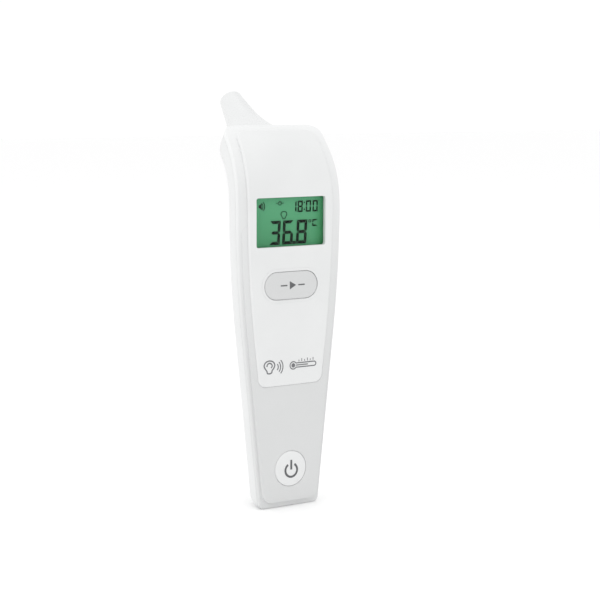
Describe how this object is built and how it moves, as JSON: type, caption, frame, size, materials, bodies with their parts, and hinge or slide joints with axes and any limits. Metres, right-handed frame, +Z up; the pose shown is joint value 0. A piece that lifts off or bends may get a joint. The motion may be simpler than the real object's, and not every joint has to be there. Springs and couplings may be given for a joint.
{
  "type": "ear thermometer",
  "caption": "Hand-held infrared ear thermometer: slim tapered white handle, green display, oval start key, round power key and a tilted conical ear probe.",
  "frame": {"origin": "centre of the small flat sole at the foot of the handle, on which the thermometer stands upright", "axes": "+Z up the handle, -Y out of the display, +X to the left of a user facing the display; the probe leans back towards +Y"},
  "size_m": [0.039, 0.0439, 0.1382],
  "materials": {
    "shell_white": "fine satin moulded ABS",
    "panel_white": "satin-gloss moulded ABS",
    "button_grey": "satin silicone-soft key cap",
    "window_clear": "clear hard-coated acrylic lens",
    "lcd_green": "backlit liquid crystal display",
    "seal_grey": "soft silicone",
    "inner_plastic": "natural moulded plastic",
    "light_guide_clear": "frosted acrylic",
    "board_green": "solder-masked glass epoxy",
    "chip_black": "moulded epoxy",
    "component_tan": "ceramic chip components",
    "steel": "nickel-plated steel",
    "gold": "gold-plated metal",
    "aluminium": "turned aluminium",
    "silicon_window": "coated infrared filter",
    "ribbon_amber": "polyimide ribbon",
    "zebra_grey": "striped conductive elastomer"
  },
  "bodies": {
    "case": {"front_shell": "shell_white", "rear_shell": "shell_white", "face_panel": "panel_white", "display_window": "window_clear", "window_gasket": "seal_grey", "lcd_glass": "lcd_green", "lcd_frame": "inner_plastic", "light_guide": "light_guide_clear", "backlight_leds": "light_guide_clear", "contact_strip": "zebra_grey", "start_switch": "steel", "power_switch": "steel", "main_board": "board_green", "processor_chip": "chip_black", "memory_chip": "chip_black", "crystal": "steel", "board_components": "component_tan", "buzzer": "chip_black", "battery_tray": "inner_plastic", "battery_cell": "steel", "contact_negative": "gold", "contact_positive": "gold", "probe_cone": "panel_white", "probe_tip_ring": "panel_white", "sensor_window": "silicon_window", "waveguide_tube": "gold", "sensor_block": "aluminium", "thermopile_sensor": "steel", "sensor_board": "board_green", "probe_gasket": "seal_grey", "probe_retainer": "inner_plastic", "sensor_cable": "ribbon_amber", "board_screws": "steel", "case_screws": "steel"},
    "start_key": {"start_button": "button_grey", "start_plunger": "chip_black"},
    "power_key": {"power_button": "panel_white", "power_plunger": "chip_black"},
    "door": {"battery_door": "shell_white"}
  },
  "joints": [
    {"name": "start_press", "type": "slide", "parent": "case", "child": "start_key", "axis": [0, 1, 0], "range_m": [0, 0.0006], "stiffness_N_per_m": 600},
    {"name": "power_press", "type": "slide", "parent": "case", "child": "power_key", "axis": [0, 1, 0], "range_m": [0, 0.0006], "stiffness_N_per_m": 600},
    {"name": "door_hinge", "type": "hinge", "parent": "case", "child": "door", "pos_m": [0, 0.01035, 0.02485], "axis": [-1, 0, 0], "range_deg": [0, 80]}
  ]
}
